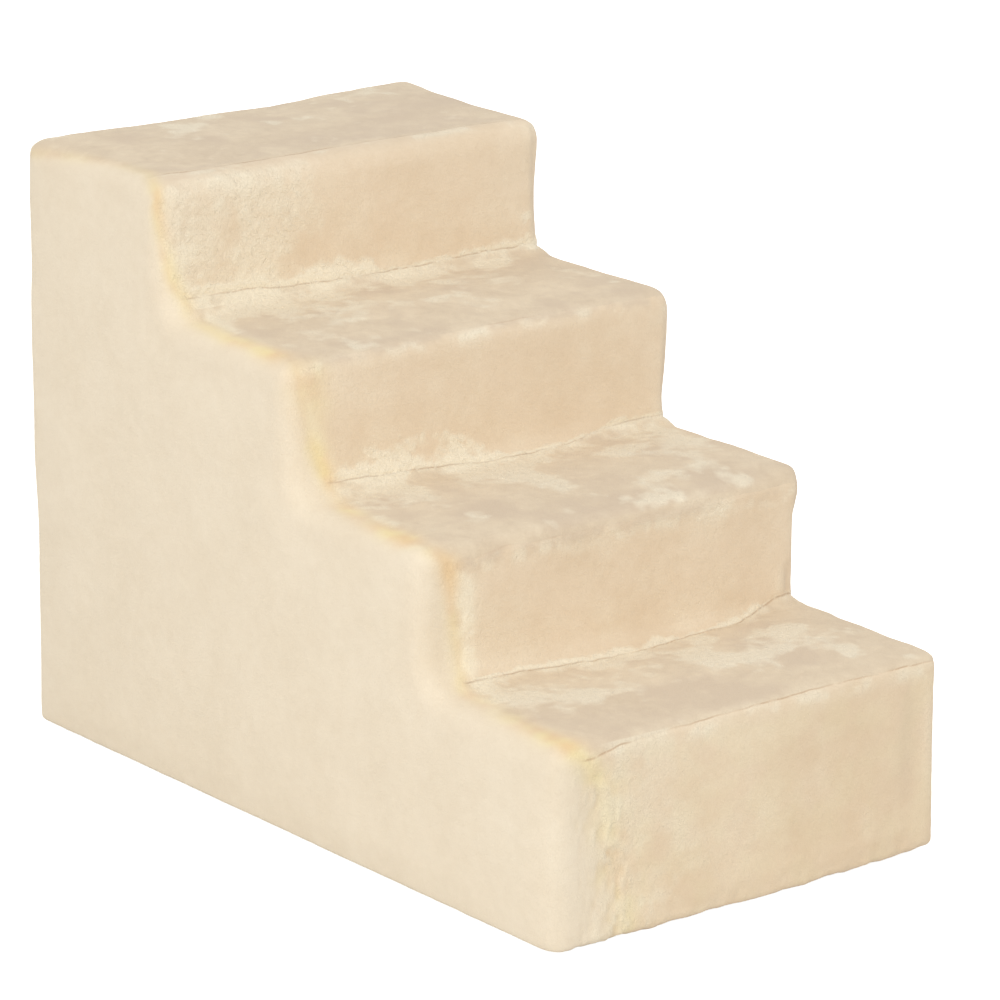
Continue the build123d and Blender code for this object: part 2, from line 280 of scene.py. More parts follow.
# How far that band reaches past the seam onto the side panel, in mm
left_amber_past = (
    (0, 8), (140, 8), (200, 10), (320, 12), (340, 6), (430, 7), (470, 12), (605, 12), (625, 6), (700, 7),
    (745, 13), (885, 14), (905, 5), (1000, 4), (1200, 6),
)


def vectors_of(items, field):
    """A field of three numbers for each point, as an array."""
    values = np.empty(len(items) * 3, dtype=np.float32)
    items.foreach_get(field, values)
    return values.reshape(-1, 3).astype(np.float64)


def points_of(mesh):
    """The mesh's points."""
    return vectors_of(mesh.vertices, "co")


def normals_of(mesh):
    """The mesh's normals at its points."""
    return vectors_of(mesh.vertex_normals, "vector")


def place_points(mesh, points):
    """Puts the mesh's points where they are given."""
    mesh.vertices.foreach_set("co", points.astype(np.float32).ravel())
    mesh.update()


def apply_modifiers(piece):
    """Makes what the piece's modifiers show its real mesh."""
    bpy.context.view_layer.update()
    shown = piece.evaluated_get(bpy.context.evaluated_depsgraph_get())
    mesh = bpy.data.meshes.new_from_object(shown)
    piece.modifiers.clear()
    piece.data = mesh


def remesh(piece, voxel):
    """Rebuilds the surface in even quads."""
    modifier = piece.modifiers.new("even", "REMESH")
    modifier.mode = "VOXEL"
    modifier.voxel_size = voxel
    apply_modifiers(piece)


def round_cut(first, second, radius):
    """How deep a point lies inside two forms at once, with their edge rounded."""
    corner = np.hypot(np.maximum(radius - first, 0), np.maximum(radius - second, 0))
    return radius - corner + np.maximum(np.minimum(first, second) - radius, 0)


def round_join(first, second, radius):
    """How deep a point lies inside either form, with the corner between them filled."""
    return -round_cut(-first, -second, radius)


def between(ends, x):
    """A value that goes evenly from the left end to the right one."""
    return ends[0] + (ends[1] - ends[0]) * (x / half_width + 1) / 2


def grow(way, over):
    """From 0 to 1 over a way."""
    return np.clip(way / over, 0, 1)


def fade(way, over):
    """From 1 to 0 over a way."""
    return np.clip(1 - way / over, 0, 1)


def depth_under_steps(points):
    """How deep a point lies under the treads and behind the risers."""
    x, y, z = points.T
    first_radius = nosing_radius - sharper_corner * np.clip(x / half_width * 2 - 1, 0, 1)
    depth = round_cut(y - nose_y[0], tread_z[0] - z, first_radius)
    for nose, top, ends in zip(nose_y[1:], tread_z[1:], inner_radius):
        step = round_cut(y - nose, top - z, nosing_radius)
        depth = round_join(depth, step, between(ends, x))
    return depth


def climb_of(points):
    """How far up the climb a point is: its way along Y and its height, added up."""
    return points[:, 1] - front_y + points[:, 2]


corner_climb = [y - front_y + z for pair in zip(zip(nose_y, foot_z), zip(nose_y, tread_z)) for y, z in pair]
corner_climb.append(back_y - front_y + top_z)


def up_the_climb(table, climb):
    """A value from a table that starts each row with the millimetres up the climb."""
    return np.interp(climb * 1000, *zip(*table))


def near_top(z):
    """From 0, below the top band, to 1, at the top tread."""
    return np.clip((z - top_z) / top_band + 1, 0, 1)


def depth_in_cover(points):
    """How deep a point lies inside the sewn cover: risers drawn in, treads crowned, edges rolled."""
    x, y, z = points.T
    steps_depth = depth_under_steps(points)
    climb = climb_of(points)
    bulge = np.zeros(len(points))
    for n, (start, end) in enumerate(zip(corner_climb, corner_climb[1:])):
        share = np.clip((climb - start) / (end - start), 0, 1)
        bulge += np.sin(np.pi * share) * (tread_crown if n % 2 else -riser_draw)
    bulge *= fade(steps_depth, left_roll) * (1 - (x / half_width) ** 8)
    at_top_back = grow(y - plump_from, plump_over) * (z > plump_above)
    bulge += back_plump_left * np.clip(0.4 - x / half_width, 0, 1) * at_top_back
    bulge += back_plump_right * np.clip(x / half_width * 2 - 0.5, 0, 1) * at_top_back
    ease = grow(back_y - y, roll_ease)
    depth = round_cut(steps_depth + bulge, back_y - y, back_radius)
    right_roll = up_the_climb([(up, roll) for up, roll, _ in right_edge], climb) / 1000
    drawn_in = up_the_climb([(up, drawn) for up, _, drawn in right_edge], climb) / 1000
    drawn_in *= fade(steps_depth, drawn_depth)
    left_back = back_roll[0] + top_left_roll * near_top(z)
    depth = round_cut(depth, half_width + x, left_back + (left_roll - left_back) * ease)
    right_roll = back_roll[1] + (right_roll - back_roll[1]) * ease
    depth = round_cut(depth, half_width - x - drawn_in, right_roll)
    return round_cut(depth, z - hem_lift, hem_radius)


def slope_of(value_at, points, nudge):
    """Which way a value grows at each point, and how fast."""
    slope = np.empty_like(points)
    for axis in range(3):
        shift = np.zeros(3)
        shift[axis] = nudge
        slope[:, axis] = (value_at(points + shift) - value_at(points - shift)) / (2 * nudge)
    return slope


def settle(points):
    """Moves points onto the cover's rounded surface."""
    for _ in range(4):
        slope = slope_of(depth_in_cover, points, nudge=0.0004)
        steepness = np.maximum((slope**2).sum(1), 0.25)
        points = points - slope * (depth_in_cover(points) / steepness)[:, None]
    return points


def side_wrap(points):
    """How far in from each side seam a point is, counted round the roll: left seam, right seam."""
    x, y, z = points.T
    inward = np.maximum(np.minimum(depth_under_steps(points), back_y - y), 0)
    at_back = back_y - y < depth_under_steps(points)
    left = up_the_climb(left_wrap, climb_of(points)) / 1000
    left = np.where(at_back, plain_wrap + (left_wrap[-1][1] / 1000 - plain_wrap) * near_top(z), left)
    right = np.where(at_back, plain_wrap + (right_wrap - plain_wrap) * near_top(z), right_wrap)
    return half_width + x - inward - left, half_width - x - inward - right


def back_seams(points):
    """The signed way up the back to the zipper slot's two edges, and past the top back seam."""
    x, y, z = points.T
    return [z - slot_low, z - slot_high, (back_y - y) - (top_z - z)]


def along(path, x):
    """A value from a path given at shares of the half width."""
    return np.interp(x / half_width, *zip(*path))


def cross_seams(points):
    """The signed way along the climb to each seam between a riser and a tread, from the bottom up."""
    climb, x = climb_of(points), points[:, 0]
    ways = []
    for n, path in enumerate(seam_paths):
        wobble = 0.0004 * np.sin(x * 134 + 1.7 * n) + 0.0003 * np.sin(x * 331 + 2.9 * n)
        ways.append(climb - corner_climb[n + 1] - along(path, x) / 1000 - wobble)
    return ways


# The whole form: the side view as one face, pushed out across the width
bm = bmesh.new()
outline = [(front_y, hem_lift)]
for nose, inner, top in zip(nose_y, inner_y, tread_z):
    outline += [(nose, top), (inner, top)]
outline.append((back_y, hem_lift))
side_face = bm.faces.new([bm.verts.new((-half_width, y, z)) for y, z in outline])
pushed = bmesh.ops.extrude_face_region(bm, geom=[side_face])["geom"]
far_side = [g for g in pushed if isinstance(g, bmesh.types.BMVert)]
move_mesh(bm, (2 * half_width, 0, 0), far_side)
bmesh.ops.recalc_face_normals(bm, faces=bm.faces)
sewn = build_mesh("sewn_cover", bm)
remesh(sewn, coarse)
place_points(sewn.data, settle(points_of(sewn.data)))

# The stuffed cover swells a little between its seams: a short cloth simulation, held at the seams
rest = points_of(sewn.data)
left_way, right_way = side_wrap(rest)
seam_way = np.minimum(np.abs(left_way), np.abs(right_way))
for way in cross_seams(rest):
    seam_way = np.minimum(seam_way, np.abs(way) + np.where(depth_under_steps(rest) > held_band, 1.0, 0.0))
held = np.where(rest[:, 2] < held_band, 1.0, np.clip(1.2 - seam_way / held_band, 0.0, 1.0))
group = sewn.vertex_groups.new(name="seams")
for level in np.unique(np.round(held, 1)):
    if level > 0:
        group.add(np.nonzero(np.round(held, 1) == level)[0].tolist(), float(level), "REPLACE")
cloth = sewn.modifiers.new("swell", "CLOTH")
cloth.settings.vertex_group_mass = "seams"
cloth.settings.use_pressure = True
cloth.settings.uniform_pressure_force = swell_pressure
cloth.settings.effector_weights.gravity = 0.0
cloth.settings.quality = 4
cloth.settings.bending_stiffness = swell_bending
cloth.point_cache.frame_end = swell_frames
for step in range(1, swell_frames + 1):
    bpy.context.scene.frame_set(step)
shown = sewn.evaluated_get(bpy.context.evaluated_depsgraph_get())
swollen = points_of(shown.to_mesh())
sewn.modifiers.clear()
bpy.context.scene.frame_set(1)
moved = swollen - rest
length = np.linalg.norm(moved, axis=1)
kept = np.minimum(length, swell) / np.maximum(length, 1e-9)
kept *= grow(seam_way - held_band, swell_ease)
moved *= kept[:, None]
place_points(sewn.data, rest + moved)

smoother = sewn.modifiers.new("smooth", "SUBSURF")
smoother.levels = smoother.render_levels = 1
remesh(sewn, fine)


def lattice_noise(points, size, seed):
    """Smooth seeded noise from -1 to 1, with bumps of the given size."""
    cells = 64
    lattice = np.random.default_rng(seed).uniform(-1, 1, (cells, cells, cells))
    spot = points / size
    base = np.floor(spot).astype(int)
    ease = spot - base
    ease = ease * ease * (3 - 2 * ease)
    total = np.zeros(len(points))
    for corner in np.ndindex(2, 2, 2):
        weight = np.prod(np.where(corner, ease, 1 - ease), axis=1)
        total += weight * lattice[tuple(((base + corner) % cells).T)]
    return total


def ridge(way, centre, width):
    """A soft ridge along a seam."""
    return np.exp(-(((way - centre) / width) ** 2))


def draw_to_seams(points, facing):
    """Brings the points nearest a seam onto it, along the surface, so that the panels part cleanly."""
    at_back = facing[:, 1] > 0.7
    seams = [(lambda p, n=n: side_wrap(p)[n], True) for n in (0, 1)]
    seams += [(lambda p, n=n: cross_seams(p)[n], ~at_back) for n in range(7)]
    seams += [(lambda p, n=n: back_seams(p)[n], at_back) for n in (0, 1)]
    seams.append((lambda p: back_seams(p)[2], points[:, 2] > top_z - 0.02))
    reach = fine * 0.45
    for way_to, where in seams:
        near = np.nonzero((np.abs(way_to(points)) < reach) & where)[0]
        close, normal = points[near], facing[near]
        slope = slope_of(way_to, close, nudge=0.0003)
        slope -= normal * (slope * normal).sum(1)[:, None]
        points[near] = close - slope * (way_to(close) / np.maximum((slope**2).sum(1), 0.2))[:, None]
    return points


# The pile: uneven stuffing, tufts, brushed patches, the pinch of each seam and the fluff beside it, with
# painted shade in seams, folds and puckers and painted highlights on their crests
facing = normals_of(sewn.data)
even = points_of(sewn.data)
rest = draw_to_seams(even.copy(), facing)
polygons = sewn.data.polygons
corners = np.empty(len(polygons) * 4, dtype=np.int32)
polygons.foreach_get("vertices", corners)
corners = corners.reshape(-1, 4)
smallest_face = 0.35 * fine**2
for _ in range(4):
    turned = np.cross(rest[corners[:, 2]] - rest[corners[:, 0]], rest[corners[:, 3]] - rest[corners[:, 1]])
    folded = (turned * facing[corners].mean(axis=1)).sum(axis=1) < smallest_face
    rest[corners[folded].ravel()] = even[corners[folded].ravel()]
left_way, right_way = side_wrap(rest)
ways = cross_seams(rest)
depth, climb, share = depth_under_steps(rest), climb_of(rest), rest[:, 0] / half_width
on_climb = depth < back_y - rest[:, 1]
near = (right_way > 0) & on_climb & (rest[:, 2] > 0.004)
near = near * grow(left_way, 0.005)


def turned_to(way, steep, start):
    """1 where the surface looks a way and 0 where it doesn't, steeply or softly."""
    return np.clip(way * steep - start, 0, 1)


faces_front = turned_to(-facing[:, 1], 2.2, 0.4)
on_tread = near * turned_to(facing[:, 2], 2.2, 0.4)
on_riser = near * faces_front
seam_pinch = 0.0018  # half the width of the groove that a seam draws
tuft_low, tuft_crushed, tuft_pale, tuft_crease = 0.0002, 0.0005, 0.0004, 0.0004  # tufts' heights
crease_pinch, crease_hollow, nosing_pinch, side_pinch = 0.0010, 0.0008, 0.0005, 0.0005  # seams' depths
crease_fluff, nosing_fluff, side_fluff = 0.0005, 0.0003, 0.0010  # heights of the loose pile at the seams
pucker_height, lock_height, hem_height, hem_ragged = 0.0013, 0.0008, 0.0012, 0.0019


def noise(size, seed):
    """Seeded noise over the cover's points."""
    return lattice_noise(rest, size, seed)


def patches(points, size, seed, share, edge=0.5):
    """Uneven patches with ragged edges, 0 outside and 1 inside; share 0 covers half the surface."""
    mixed = lattice_noise(points, size, seed) + 0.5 * lattice_noise(points, size * 0.42, seed + 40)
    mixed += 0.3 * lattice_noise(points, size * 0.18, seed + 80)
    return np.clip((mixed + share) / edge + 0.5, 0, 1)


def patchy(amount, size, seed, spread, edge=0.5):
    """An amount broken up into patches; spread shifts how much of it stays."""
    spot = np.nonzero(amount > 0.005)[0]
    kept = np.zeros(len(rest))
    spread = spread[spot] if isinstance(spread, np.ndarray) else spread
    kept[spot] = amount[spot] * patches(rest[spot], size, seed, spread, edge)
    return kept


# Loose pale pile stands up in patches: along the creases, behind the middle of each tread and on the
# left of the top riser, where hands and paws have rubbed it
stuffing = 0.0012 * noise(0.085, 1) + 0.0005 * noise(0.033, 2)
stuffing *= np.clip(rest[:, 2] / 0.05, 0.1, 1)
tufts = 0.6 * noise(0.0085, 3) + 0.4 * noise(0.0046, 4)
# The pale tint gathers loose pale pile and painted highlights on crests; the grey tint gathers brushed pile
# and painted shade in hollows
shade, pale, brushed = np.zeros(len(rest)), np.zeros(len(rest)), np.zeros(len(rest))
seam_gap = np.full(len(rest), 0.01)
rubbed_left = np.clip((-0.078 - rest[:, 0]) / 0.035, -1.6, 0.9)
crushed = patchy(on_riser * (climb > corner_climb[6]), 0.032, 5, rubbed_left, 1.1)
for n in range(4):
    from_nosing = ways[2 * n]
    to_crease = ways[2 * n + 1] if n < 3 else climb - corner_climb[8]
    way = np.clip(from_nosing / (from_nosing - to_crease), 0, 1)
    on_this = on_tread * grow(from_nosing, 0.008) * np.clip(0.7 - to_crease / 0.003, 0, 1)
    rear = -0.55 + 0.85 * way - 0.5 * np.abs(share + 0.15) - (0.4 if n == 3 else 0.0)
    pale += patchy(on_this, 0.034, 6 + n, rear, 0.5) * 0.95
    brushed += patchy(on_this, 0.042, 16 + n, -0.05 - 0.45 * way, 0.8)

fluff_noise = np.clip(0.55 + noise(0.016, 9) + 0.4 * noise(0.006, 10), 0, 1.6)
relief = stuffing + tufts * (tuft_low + tuft_crushed * crushed + tuft_pale * pale)
for n, way in enumerate(ways):
    line = near * along(seam_lines[n], rest[:, 0])
    broken = np.clip(0.7 + 1.2 * noise(0.022, 20 + n), 0.1, 1)
    shade += np.where(np.abs(way) < 0.006, line * broken, 0)
    seam_gap = np.minimum(seam_gap, np.abs(way))
    if n % 2:
        pinched = line * ridge(way, 0, seam_pinch) * crease_pinch
        relief -= pinched + near * ridge(way, 0, 0.005) * crease_hollow
        height = along(crease_pile[n // 2], rest[:, 0]) / 1000
        up = np.clip(way / height, 0, 2)
        above = patchy(near * (way > 0) * (up < 1.8), 0.014, 30 + n, 1.25 - 1.3 * up, 0.7)
        below = patchy(near * (way < 0) * ridge(way, 0, 0.016), 0.018, 50 + n, 0.4 + way / 0.012, 0.8)
        relief += (above + below) * grow(np.abs(way), 0.005) * crease_fluff
        relief += (above + below) * tufts * tuft_crease
        pale += 1.1 * above + 0.8 * below
        pale += patchy(near * ridge(way, 0.0045, 0.003) * (height > 0.009), 0.012, 60 + n, 0.5)
    else:
        relief -= line * ridge(way, 0, seam_pinch) * nosing_pinch
        relief += near * ridge(way, -0.004, 0.003) * fluff_noise * nosing_fluff
        # A pale band under each nosing's seam: loose pile, partly a painted highlight on the nosing's roll
        pale += patchy(near * ridge(way, -0.008, 0.007), 0.028, 70 + n, -0.1, 0.5) * 0.8
        if n in (2, 4):
            brushed += patchy(near * ridge(way, -0.003, 0.006), 0.02, 90 + n, 0.2, 0.8)
drift = 0.012 * noise(0.035, 44)
# Each fold's hollow gets painted shade in the grey tint, and each raised fold a painted highlight in the pale
# one
for across, up, half_across, half_up, height in folds:
    fold = np.exp(-(((share + drift - across) / half_across) ** 2) - ((climb * 1000 - up) / half_up) ** 4)
    fold *= near
    relief += fold * height / 1000
    brushed += fold * (0.6 if height < 0 else 0.0)
    pale += fold * (0.35 if height > 0 else 0.0)
pale += patchy(on_riser * 0.3, 0.036, 45, -0.3 - 0.3 * (share > 0) * (climb < corner_climb[6]), 1.1)
pale += patchy(on_riser * (climb < corner_climb[1]) * np.clip(0.2 - share, 0, 1), 0.022, 46, 0.0, 0.8) * 0.8
relief -= ridge(right_way, 0, seam_pinch) * side_pinch
at_back = turned_to(facing[:, 1], 4, 3)
for edge, up in ((slot_high, 1), (slot_low, -1)):
    sewn_way = (rest[:, 2] - edge) * up - topstitch_way
    relief = np.where(np.abs(sewn_way) < 0.004, relief * (1 - 0.8 * at_back), relief)
    relief -= at_back * topstitch_depth * ridge(sewn_way, 0, seam_pinch)
edge_fluff = up_the_climb(left_fluff, climb)
fluff_width = up_the_climb(left_fluff_width, climb) / 1000
fluff_middle = 0.003 + fluff_width + 0.003 * noise(0.02, 17)
left_ridge = ridge(left_way, fluff_middle, fluff_width) * edge_fluff
left_ridge = patchy(np.clip(left_ridge, 0, 2) * on_climb, 0.02, 28, 0.35, 0.8)
relief += left_ridge * side_fluff
from_edge = half_width + rest[:, 0] - np.maximum(depth, 0)
# A grey band on the left side panel just behind its roll, where the key lamp lights it most: painted shade
brushed += 0.12 * ridge(from_edge, -0.012, 0.014) * grow(climb - 0.2, 0.05) * on_climb
pale += 0.35 * ridge(left_way, -0.005, 0.006) * faces_front
below_top_nosing = 0.93
top_right = on_riser * (climb > corner_climb[6]) * (climb < below_top_nosing)
pale += patchy(ridge(right_way, 0.022, 0.006) * top_right, 0.012, 29, 0.1)
# Puckers where the first riser is sewn to the left side panel, and the hem's loose pile; their hollows get
# painted shade and their crests a painted highlight
pucker_share = grow(0.16 - climb, 0.03) * np.exp(-(((left_way - 0.004) / 0.024) ** 2))
pucker_share *= turned_to(-facing[:, 1], 2, 0.4)
pucker_frame = rest * np.array([1.0, 1.0, 0.5]) + 0.004 * noise(0.02, 18)[:, None]
puckers = 0.8 * lattice_noise(pucker_frame, 0.0085, 11) + lattice_noise(pucker_frame, 0.0045, 19)
relief += pucker_share * puckers * pucker_height * np.clip(rest[:, 2] / 0.06, 0.5, 1)
brushed += pucker_share * np.clip(-puckers - 0.3, 0, 1) * 0.35
pale += pucker_share * np.clip(puckers, 0, 1) * 0.8
hem_locks = fade(rest[:, 2], 0.06) * ridge(left_way, 0, 0.04)
hem_locks *= turned_to(-facing[:, 1], 2, 0.2)
relief += hem_locks * puckers * lock_height
brushed += hem_locks * np.clip(-puckers - 0.1, 0, 1) * 0.5
pale += hem_locks * np.clip(puckers, 0, 1) * 0.6
near_hem = fade(rest[:, 2], 0.03)
relief += near_hem * np.clip(-facing[:, 1], 0.15, 1) * noise(0.008, 12) * hem_height
points = rest + facing * relief[:, None]
ragged = lattice_noise(rest * np.array([1, 1, 0.2]), 0.02, 13) + 0.5 * noise(0.007, 14)
ragged = np.clip(ragged, -1, 1)
at_front = fade(rest[:, 1] - front_y, 0.02)
hem_rise = 0.0035 * np.clip(share * 2.5 - 1, 0, 1) + 0.005 * np.clip(share * 16 - 15, 0, 1) ** 2
points[:, 2] += near_hem * at_front * (hem_rise + hem_ragged * ragged)
points[:, 2] = np.maximum(points[:, 2], hem_lift * 0.5)

amber_width = up_the_climb(left_amber_width, climb) / 1000
amber_middle = amber_width - up_the_climb(left_amber_past, climb) / 1000
amber = 0.85 * ridge(left_way, amber_middle, amber_width) * up_the_climb(left_amber, climb) * on_climb
amber *= np.clip(0.9 + noise(0.028, 15) * 0.7, 0.1, 1.2)
# The first riser's low part tinted warmer: painted shade against the floor's bounced light
first_riser_shade = 0.17 * on_riser * grow(corner_climb[1] - climb, 0.02)
low_down = grow(corner_climb[1] - climb, 0.03)
wander = (0.005 + 0.006 * low_down) * noise(0.02, 16)
wander += (0.003 + 0.004 * low_down) * noise(0.007, 27)
soft_edge = 0.010 + 0.016 * low_down
creamy = np.clip(0.5 - (np.minimum(left_way, right_way + 0.012) + wander) / soft_edge, 0, 1)
place_points(sewn.data, points)
outward = normals_of(sewn.data)
for name, values in (
    ("seam_gap", seam_gap * 1000),
    ("tufts", 0.5 + 0.5 * tufts),
    ("seam_shade", shade),
    ("pale_fluff", np.clip(pale + crushed * (0.75 + 0.4 * tufts) + left_ridge * 1.2, 0, 1.2)),
    ("standing", np.clip(pale + crushed + left_ridge * 0.25, 0, 1)),
    ("brushed", brushed),
    # The amber tint also paints shade in the puckers' hollows and on the first riser
    ("amber", amber + pucker_share * (0.12 + np.clip(-puckers, 0, 1) * 0.25) + first_riser_shade),
    ("creamy", creamy),
):
    layer = sewn.data.attributes.new(name, "FLOAT", "POINT")
    layer.data.foreach_set("value", np.clip(values, 0, 10).astype(np.float32))

for name, directions in (("inward", -facing), ("outward", outward)):
    layer = sewn.data.attributes.new(name, "FLOAT_VECTOR", "POINT")
    layer.data.foreach_set("vector", directions.astype(np.float32).ravel())

# Each panel takes the faces between its seams; faces that stick out of a seam's line go to the other side
panel_names = [f"{kind}_plush_{i}" for i in steps for kind in ("riser", "tread")]
panel_names += ["left_side_plush", "right_side_plush", "back_plush", "back_hem_plush", "not_kept"]
number = {name: n for n, name in enumerate(panel_names)}
middle = rest[corners].mean(axis=1)
down = facing[corners, 2].mean(axis=1)
left_way, right_way = side_wrap(middle)
panel = np.zeros(len(middle), dtype=np.int32)
for n, way in enumerate(cross_seams(middle)):
    panel[way > 0] = n + 1
at_back = back_y - middle[:, 1] < np.minimum(depth_under_steps(middle), 0.03)
panel[at_back & (middle[:, 2] >= slot_high)] = number["back_plush"]
panel[at_back & (middle[:, 2] <= slot_low)] = number["back_hem_plush"]
panel[at_back & (middle[:, 2] < slot_high) & (middle[:, 2] > slot_low)] = number["not_kept"]
panel[left_way < 0] = number["left_side_plush"]
panel[right_way < 0] = number["right_side_plush"]
from_ends = np.minimum(middle[:, 1] - front_y, back_y - middle[:, 1])
inside_hem = np.minimum(from_ends, half_width - np.abs(middle[:, 0]))
hem_width = 0.012  # of the strip that turns in under the base
panel[(down < -0.7) & (inside_hem > hem_width) & (middle[:, 2] < 0.01)] = number["not_kept"]
side_edges = np.empty(len(corners) * 4, dtype=np.int32)
sewn.data.loops.foreach_get("edge_index", side_edges)
order = np.argsort(side_edges, kind="stable")
face_pairs = (order // 4).reshape(-1, 2)
beside = np.empty(len(side_edges), dtype=np.int64)
beside[order] = face_pairs[:, ::-1].ravel()
beside = beside.reshape(-1, 4)
for _ in range(6):
    around = panel[beside]
    alike = (around == panel[:, None]).sum(axis=1)
    spikes = np.nonzero(alike < 2)[0]
    for face in spikes:
        values, counts = np.unique(around[face], return_counts=True)
        panel[face] = values[counts.argmax()]
for name in panel_names:
    sewn.data.materials.append(bpy.data.materials.new(name))
polygons.foreach_set("material_index", panel)
before = set(bpy.data.objects)
bpy.context.view_layer.objects.active = sewn
sewn.select_set(True)
bpy.ops.object.mode_set(mode="EDIT")
bpy.ops.mesh.separate(type="MATERIAL")
bpy.ops.object.mode_set(mode="OBJECT")
panels = {}
for piece in [sewn] + [o for o in bpy.data.objects if o not in before]:
    only_one = len(piece.data.materials) == 1
    name = piece.data.materials[0].name if only_one else panel_names[piece.data.polygons[0].material_index]
    panels[name] = piece
    piece.name = piece.data.name = name
    piece.select_set(False)
bpy.data.objects.remove(panels.pop("not_kept"))

seam_allowance = 0.0065


def turn_in(piece):
    """Turns a panel's raw edge in behind it, as a seam allowance; the pile runs on across the seam."""
    bm = bmesh.new()
    bm.from_mesh(piece.data)
    inward, outward = (bm.verts.layers.float_vector[name] for name in ("inward", "outward"))
    rim = [e for e in bm.edges if e.is_boundary]
    grown = bmesh.ops.extrude_edge_only(bm, edges=rim)["geom"]
    for v in (g for g in grown if isinstance(g, bmesh.types.BMVert)):
        v.co += v[inward] * seam_allowance
        v[outward] = Vector((0, 0, 0))
    bm.verts.layers.float_vector.remove(inward)
    for e in rim:
        e.smooth = False
    for face in bm.faces:
        face.smooth = True
    bm.to_mesh(piece.data)
    bm.free()
    pile = piece.data.attributes["outward"]
    directions = vectors_of(pile.data, "vector").tolist()
    piece.data.attributes.remove(pile)
    piece.data.normals_split_custom_set_from_vertices(directions)


def new_group(name, takes, gives):
    """A shader group with named sockets, each a kind of value: its tree and its two ends."""
    group = bpy.data.node_groups.new(name, "ShaderNodeTree")
    for in_out, sockets in (("INPUT", takes), ("OUTPUT", gives)):
        for socket, kind in sockets.items():
            group.interface.new_socket(socket, in_out=in_out, socket_type=f"NodeSocket{kind}")
    return group, group.nodes.new("NodeGroupInput"), group.nodes.new("NodeGroupOutput")


def noise_of(tree, place, scale, detail, **settings):
    """Seeded noise from 0 to 1 in the shader."""
    node = add_node(tree, "ShaderNodeTexNoise", Vector=place, Scale=scale, Detail=detail, **settings)
    return node.outputs["Fac"]


def maths(tree, operation, first, second=0.5, clamp=False):
    """One step of arithmetic between sockets or numbers."""
    node = tree.nodes.new("ShaderNodeMath")
    node.operation, node.use_clamp = operation, clamp
    for socket, value in zip(node.inputs, (first, second)):
        if isinstance(value, bpy.types.NodeSocket):
            tree.links.new(value, socket)
        else:
            socket.default_value = value
    return node.outputs["Value"]


def off_middle(tree, value, middle, by, clamp=False):
    """How far a value is from its middle, times a factor."""
    return maths(tree, "MULTIPLY", maths(tree, "SUBTRACT", value, middle), by, clamp)


def gain(tree, value, by, plus):
    """A value times a factor, plus a base."""
    return maths(tree, "ADD", maths(tree, "MULTIPLY", value, by), plus)


def give(tree, given, **results):
    """Joins a group's results to its outputs."""
    for name, socket in results.items():
        tree.links.new(socket, given.inputs[name])


def attribute(tree, name):
    """A value painted on the panel's points."""
    return add_node(tree, "ShaderNodeAttribute", attribute_name=name).outputs["Fac"]


# What every plush panel shares: pile lit by its tips, soft patches, tufts where it stands up, and a
# fine fibre
fibre, taken, given = new_group("plush_pile", {"Colour": "Color", "Root": "Color", "Nap": "Float",
                                               "Mottle": "Float", "Fluff": "Float"},
                                {"Colour": "Color", "Height": "Float"})
place = object_place(fibre)
loose = maths(fibre, "MULTIPLY", taken.outputs["Fluff"], 1.0, clamp=True)
grains, dark = {}, 0.5
for name, scale, detail, roughness, twisted, amount in (
    ("patches", 16.0, 3.0, 0.5, 0.0, taken.outputs["Mottle"]),
    ("nap", 46.0, 5.0, 0.62, 1.1, taken.outputs["Nap"]),
    ("clumps", 150.0, 4.0, 0.6, 0.6, gain(fibre, loose, 1.35, 0.35)),
    ("locks", 420.0, 3.0, 0.6, 0.8, gain(fibre, loose, 0.55, 0.3)),
    ("hairs", 1000.0, 2.0, 0.6, 0.0, 0.35),
):
    grains[name] = noise_of(fibre, place, scale, detail, Roughness=roughness, Distortion=twisted)
    dark = maths(fibre, "ADD", off_middle(fibre, grains[name], 0.5, amount), dark)
raised = off_middle(fibre, attribute(fibre, "tufts"), 0.5, 0.35)
dark = maths(fibre, "SUBTRACT", dark, raised, clamp=True)
colour = blend_colours(fibre, dark, taken.outputs["Colour"], taken.outputs["Root"])
height = maths(fibre, "ADD", grains["clumps"], maths(fibre, "MULTIPLY", grains["locks"], 0.6))
height = off_middle(fibre, height, 0.8, gain(fibre, loose, 1.2, 0.5))
height = maths(fibre, "ADD", height, maths(fibre, "MULTIPLY", grains["hairs"], 0.3))
give(fibre, given, Colour=colour, Height=height)


